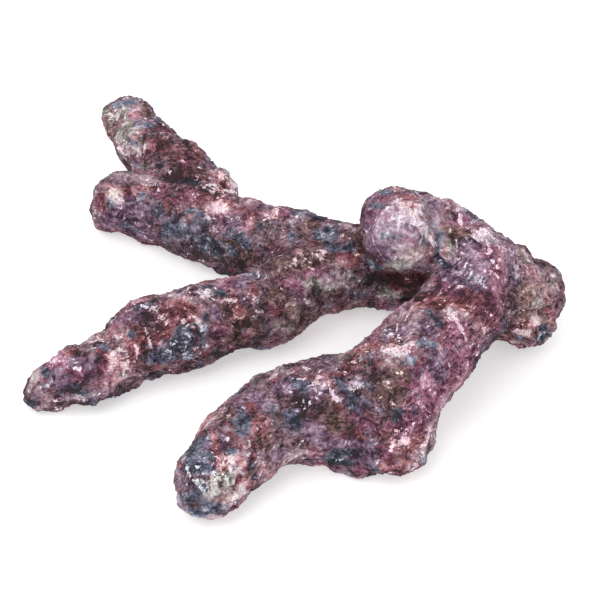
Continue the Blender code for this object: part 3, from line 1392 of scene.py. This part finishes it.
def rings(places, photograph):
    """Fine lines in rings round the middle of the head's face, and how much each place has of them."""
    off = places - photograph.place(*RINGS["middle"])
    away = np.linalg.norm(off, axis=1)
    share = smoothstep((RINGS["reach"] - away) / RINGS["edge"])
    inputs = RINGS["length"] * off / np.maximum(away, 1)[:, None]
    inputs[:, 2] += away / RINGS["width"]
    lines = np.zeros(len(places))
    inside = share > 0
    lines[inside] = sampled(lambda p: noise.fractal(p, *STREAK_OCTAVES), inputs[inside])
    return RINGS["share"] * lines, share


def streaks(places):
    """A field of streaks that run along the arms."""
    best = np.full(len(places), np.inf)
    inputs = np.zeros((len(places), 3))
    shares = np.zeros(len(places))
    for name, line in AXES.items():
        along = 0.0
        for first, second in zip(line, line[1:]):
            first = np.array(first, float)
            span = np.array(second, float) - first
            length = np.linalg.norm(span)
            share = np.clip((places - first) @ span / length ** 2, 0, 1)
            off = places - first - share[:, None] * span
            away = np.linalg.norm(off, axis=1)
            nearer = away < best
            best[nearer] = away[nearer]
            here = off[nearer] / STREAK_WIDTH
            here[:, 0] += (along + share[nearer] * length) / STREAK_LENGTH
            inputs[nearer] = here
            shares[nearer] = STREAK_SHARE[name]
            along += length
    return shares * sampled(lambda p: noise.fractal(p, *STREAK_OCTAVES), inputs)


def relief(places, smooth):
    """The small relief at these places, and how much each place is a pit."""
    size, reach = WARP
    noise.seed_set(WARP_SEED)
    warped = places + reach * sampled(lambda p: noise.noise_vector(p / size), places)
    size, height, octaves = LUMPS
    out = height * sampled(lambda p: noise.fractal(p / size, *octaves), places)

    area = sampled(lambda p: noise.noise(p / AREA_SIZE + AREA_SHIFT), places)
    rough = AREA_LEAST + (1 - AREA_LEAST) * smoothstep(0.5 + AREA_CONTRAST * area)
    rough *= 1 - SMOOTH_LOSS * smooth

    size, height, octaves = LAYERS
    layer = sampled(lambda p: noise.fractal(p / size + LAYER_SHIFT, *octaves), warped) * LAYER_STEPS
    step = np.floor(layer)
    out += height * rough * (step + smoothstep((layer - step) * LAYER_EDGE))

    size, height, octaves = RIDGES
    ridges = sampled(lambda p: noise.ridged_multi_fractal(p / size, *octaves), warped)
    out += height * rough * (ridges - ridges.mean())

    size, depth = PITS
    cells = sampled(lambda p: noise.voronoi(p / size + PIT_SHIFT)[0][0], warped)
    pit = smoothstep(PIT_RIM - cells / PIT_SHARE) * smoothstep(PIT_ROUGH * rough)
    out -= depth * pit

    size, height, octaves = CRUMBS
    out += height * (0.5 + 0.5 * rough) * sampled(lambda p: noise.fractal(p / size, *octaves), places)
    return out, pit


def roughened(skin, camera):
    """Moves the skin out and in by its relief, and gives what the stone reads at each vertex."""
    points, normals = vertex_values(skin.data)
    photograph = Photograph(camera, points, [face.vertices for face in skin.data.polygons])
    places = photograph.places
    attributes = mark_fields(photograph)
    # Painted shade: faces that look downward are darkened.
    attributes["tone"] += UNDERSIDE_PAINTED_SHADE * smoothstep(UNDERSIDE_SHADE_SLOPE - normals[:, 2])
    attributes["smooth"] = smooth_field(photograph)
    lines, share = rings(places, photograph)
    attributes["streak"] = (1 - share) * streaks(places) + share * lines
    height, attributes["pit"] = relief(places, attributes["smooth"])
    attributes["height"] = (height - height.mean()) / height.std()
    height += STREAK_HEIGHT * attributes["streak"] + form_heights(photograph) - OVERLAP
    points += normals * height[:, None] * MM
    points[:, 2] = np.maximum(points[:, 2], 0)
    skin.data.vertices.foreach_set("co", points.ravel())
    skin.data.update()
    return attributes


def pieces_of(skin, names, attributes):
    """The skin divided into one object for each node. The normals are those of the whole skin."""
    data = skin.data
    points, normals = vertex_values(data)
    labels = np.zeros(len(data.polygons), int)
    data.polygons.foreach_get("material_index", labels)
    corners = np.zeros(len(data.loops), int)
    data.loops.foreach_get("vertex_index", corners)
    corners = corners.reshape(-1, 4)
    places = np.zeros((len(data.loops), 2))
    data.uv_layers["OFBake"].uv.foreach_get("vector", places.ravel())
    places = places.reshape(-1, 4, 2)
    pieces = {}
    for number, name in enumerate(names):
        mine = labels == number
        used, local = np.unique(corners[mine], return_inverse=True)
        local = local.reshape(-1, 4)
        mesh = bpy.data.meshes.new("rock_" + name)
        mesh.from_pydata(points[used], [], local)
        mesh.uv_layers.new(name="OFBake").uv.foreach_set("vector", places[mine].ravel())
        for key, values in attributes.items():
            layer = mesh.attributes.new(key, "FLOAT", "POINT")
            layer.data.foreach_set("value", values[used].astype(np.float32))
        mesh.shade_smooth()
        mesh.normals_split_custom_set_from_vertices(normals[used])
        pieces[name] = linked("rock_" + name, mesh)
        print(name, len(local) * 2, "triangles")
    bpy.data.objects.remove(skin)
    return pieces


class Nodes:
    """Short names for the nodes of one material."""

    def __init__(self, material):
        material.use_nodes = True
        self.tree = material.node_tree
        self.tree.nodes.clear()

    def add(self, kind, inputs=(), **settings):
        made = self.tree.nodes.new("ShaderNode" + kind)
        for key, value in settings.items():
            setattr(made, key, value)
        for key, value in dict(inputs).items():
            if isinstance(value, bpy.types.NodeSocket):
                self.tree.links.new(value, made.inputs[key])
            else:
                made.inputs[key].default_value = value
        return made

    def surface(self, **inputs):
        """The material's shader, with sockets named by words joined with _."""
        inputs = {key.replace("_", " "): value for key, value in inputs.items()}
        self.add("OutputMaterial", {"Surface": self.add("BsdfPrincipled", inputs).outputs[0]})

    def math(self, operation, first, second=0.0, third=0.0):
        return self.add("Math", {0: first, 1: second, 2: third}, operation=operation).outputs[0]

    def vector(self, operation, place, other):
        key = "Scale" if operation == "SCALE" else 1
        return self.add("VectorMath", {0: place, key: other}, operation=operation).outputs[0]

    def plus(self, total, value, share, middle=0.0):
        """The total, with a share of this value's departure from its middle."""
        return self.math("ADD", total, self.math("MULTIPLY_ADD", value, share, -share * middle))

    def sum(self, total, fields, shares):
        """The total, with a share of each of these fields."""
        for key, share in shares.items():
            total = self.plus(total, fields[key], share, MIDDLE if key in CENTRED else 0.0)
        return total

    def level(self, value, low, high, bottom=0.0, top=1.0):
        inputs = {0: value, 1: low, 2: high, 3: bottom, 4: top}
        return self.add("MapRange", inputs, interpolation_type="SMOOTHSTEP").outputs[0]

    def attribute(self, name):
        return self.add("Attribute", attribute_name=name).outputs["Fac"]

    def noise(self, place, shift, size, rough):
        inputs = {"Vector": self.vector("ADD", place, shift), "Scale": 1 / size, "Detail": NOISE_DETAIL,
                  "Roughness": rough}
        return self.add("TexNoise", inputs).outputs["Fac"]

    def bent(self, place, size, reach):
        """The place, moved about by a noise so that what is drawn there gets ragged."""
        inputs = {"Vector": place, "Scale": 1 / size, "Detail": NOISE_DETAIL}
        bend = self.vector("SUBTRACT", self.add("TexNoise", inputs).outputs["Color"], [MIDDLE] * 3)
        return self.vector("ADD", place, self.vector("SCALE", bend, reach))

    def flakes(self, name, place, size):
        """Three numbers between 0 and 1 that stay the same all over one flake."""
        cells = self.add("TexVoronoi", {"Vector": place, "Scale": 1 / size}).outputs["Color"]
        numbers = self.add("SeparateColor", {0: cells}).outputs
        return {f"{name} {index}": numbers[index] for index in range(3)}

    def bump(self, height, strength, distance, **below):
        inputs = {"Height": height, "Strength": strength, "Distance": distance * MM, **below}
        return self.add("Bump", inputs).outputs[0]

    def ramp(self, value, hue):
        """Stone of one hue, from its darkest to its palest shade."""
        made = self.add("ValToRGB", {0: value})
        stops = made.color_ramp.elements
        while len(stops) < len(LEVELS):
            stops.new(0.5)
        for stop, level, share in zip(stops, LEVELS, OFFSET_SHARES):
            stop.position = (level - LEVELS[0]) / (LEVELS[-1] - LEVELS[0])
            shade = [min(max(level + share * offset, 0), 255) / 255 for offset in OFFSETS[hue]]
            stop.color = (*[linear(value) for value in shade], 1)
        return made.outputs["Color"]


def linear(value):
    """A screen value as light, by the sRGB standard."""
    return value / 12.92 if value <= 0.04045 else ((value + 0.055) / 1.055) ** 2.4


def stone_fields(nodes):
    """The places and the fields that the tone, the flecks and the crusts are made of."""
    plain = nodes.vector("SCALE", nodes.add("TexCoord").outputs["Object"], 1 / MM)
    bent = nodes.bent(plain, *BEND)
    torn = nodes.bent(bent, *TEAR)
    grain = nodes.vector("MULTIPLY", nodes.bent(plain, *SWIRL), STRETCH)
    places = {"plain": plain, "bent": bent, "grain": grain}

    fields = {name: nodes.attribute(name) for name in ("tone", "white", "smooth", "streak", "height", "pit")}
    fields |= {name: nodes.noise(places[kind], *settings) for name, (kind, *settings) in NOISES.items()}
    fields |= nodes.flakes("plate", torn, PLATES)
    fields |= nodes.flakes("chip", nodes.vector("ADD", torn, CHIP_SHIFT), CHIPS)
    fields["speckle"] = nodes.sum(0.0, fields, SPECKLE)
    for name in ("strand", "cluster"):
        fields[name] = nodes.level(fields[name], *SHOWS[name])

    edge = nodes.add("TexVoronoi", {"Vector": bent, "Scale": 1 / CRACKS}, feature="DISTANCE_TO_EDGE")
    cracked = nodes.level(fields["middle"], *SHOWS["cracked"])
    fields["crack"] = nodes.math("MULTIPLY", nodes.level(edge.outputs["Distance"], *SHOWS["crack"]), cracked)
    off = nodes.math("ABSOLUTE", nodes.math("SUBTRACT", fields["thread"], MIDDLE))
    threaded = nodes.level(fields["plate 2"], *SHOWS["threaded"])
    fields["thread"] = nodes.math("MULTIPLY", nodes.level(off, *SHOWS["thread"]), threaded)
    return bent, fields


def stone_tone(nodes, fields):
    """How pale the stone is: noises and marks, among them painted shade on the underside, in the pits and in
    hollows, and painted light, with crisp flecks over them and dark gaps between flakes.
    """
    tone = nodes.sum(0.0, fields, TONE)
    calm = nodes.math("MULTIPLY_ADD", fields["smooth"], -SMOOTH_CALM, 1.0)
    tone = nodes.math("MULTIPLY_ADD", tone, calm, TONE_BASE)
    tone = nodes.plus(tone, fields["tone"], MARK_TONE)
    fleck = nodes.level(nodes.sum(0.0, fields, CHANCE), *SHOWS["fleck"])
    pale = nodes.plus(WHITE, fields["chip 2"], WHITE_SPREAD, MIDDLE)
    tone = nodes.math("MULTIPLY_ADD", fleck, nodes.math("SUBTRACT", pale, tone), tone)
    return nodes.plus(tone, nodes.level(fields["speckle"], *SHOWS["gap"]), GAP_TONE)


def stone_colour(nodes, place, fields, tone):
    """Mauve stone of this tone, with patches of the other hues over it."""
    colour = nodes.ramp(tone, "mauve")
    for number, (hue, (shift, size, start)) in enumerate(PATCHES.items()):
        field = nodes.noise(place, shift, size, PATCH_ROUGH)
        field = nodes.plus(field, nodes.attribute(hue), PATCH_MARK)
        field = nodes.plus(field, nodes.attribute("marked"), PATCH_MARKED)
        field = nodes.plus(field, fields[f"plate {number % 3}"], PATCH_PLATE, MIDDLE)
        field = nodes.plus(field, fields[f"chip {(number + 1) % 3}"], PATCH_CHIP, MIDDLE)
        shown = nodes.level(field, *[start + edge for edge in SHOWS["patch"]])
        inputs = {0: shown, 6: colour, 7: nodes.ramp(tone, hue)}
        colour = nodes.add("Mix", inputs, data_type="RGBA").outputs[2]
    return colour


def stone_material(name):
    """Rough stone under flaking crusts: one tone runs from dark to pale, and patches change its hue."""
    material = bpy.data.materials.new(name)
    nodes = Nodes(material)
    place, fields = stone_fields(nodes)
    tone = stone_tone(nodes, fields)
    bump = nodes.bump(fields["fine"], *FINE_BUMP)
    bump = nodes.bump(nodes.plus(fields["speckle"], fields["crack"], CRACK_BUMP), *FLAKE_BUMP, Normal=bump)
    nodes.surface(Base_Color=stone_colour(nodes, place, fields, tone), Normal=bump,
                  Roughness=nodes.level(fields["fine"], *ROUGHNESS), Specular_IOR_Level=SPECULAR)
    return material


def add_floor():
    form = bmesh.new()
    bmesh.ops.create_circle(form, cap_ends=True, radius=FLOOR["radius"], segments=FLOOR["sides"])
    mesh = bpy.data.meshes.new("floor")
    form.to_mesh(mesh)
    form.free()
    material = bpy.data.materials.new("floor_white")
    Nodes(material).surface(Base_Color=(*[FLOOR["grey"]] * 3, 1), Roughness=FLOOR["roughness"],
                            Emission_Color=(1, 1, 1, 1), Emission_Strength=FLOOR["glow"])
    mesh.materials.append(material)
    linked("floor", mesh)


def add_light():
    data = bpy.data.lights.new("key", "AREA")
    data.shape = "DISK"
    data.size = KEY_LIGHT["size"]
    data.energy = KEY_LIGHT["power"]
    light = linked("key", data)
    light.location = KEY_LIGHT["place"]
    light.rotation_euler = (AIM - light.location).to_track_quat("-Z", "Y").to_euler()


def add_world():
    world = bpy.data.worlds.new("studio")
    world.use_nodes = True
    back = world.node_tree.nodes["Background"]
    back.inputs["Color"].default_value = (1, 1, 1, 1)
    back.inputs["Strength"].default_value = WORLD_LIGHT
    bpy.context.scene.world = world
    bpy.context.scene.view_settings.view_transform = "Standard"


def main():
    camera = add_camera()
    skin, names = divided_skin()
    attributes = roughened(skin, camera)
    for name, piece in pieces_of(skin, names, attributes).items():
        piece.data.materials.append(stone_material("stone_" + name))
        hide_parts(name)
        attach(piece, "root")
    add_floor()
    add_light()
    add_world()


main()
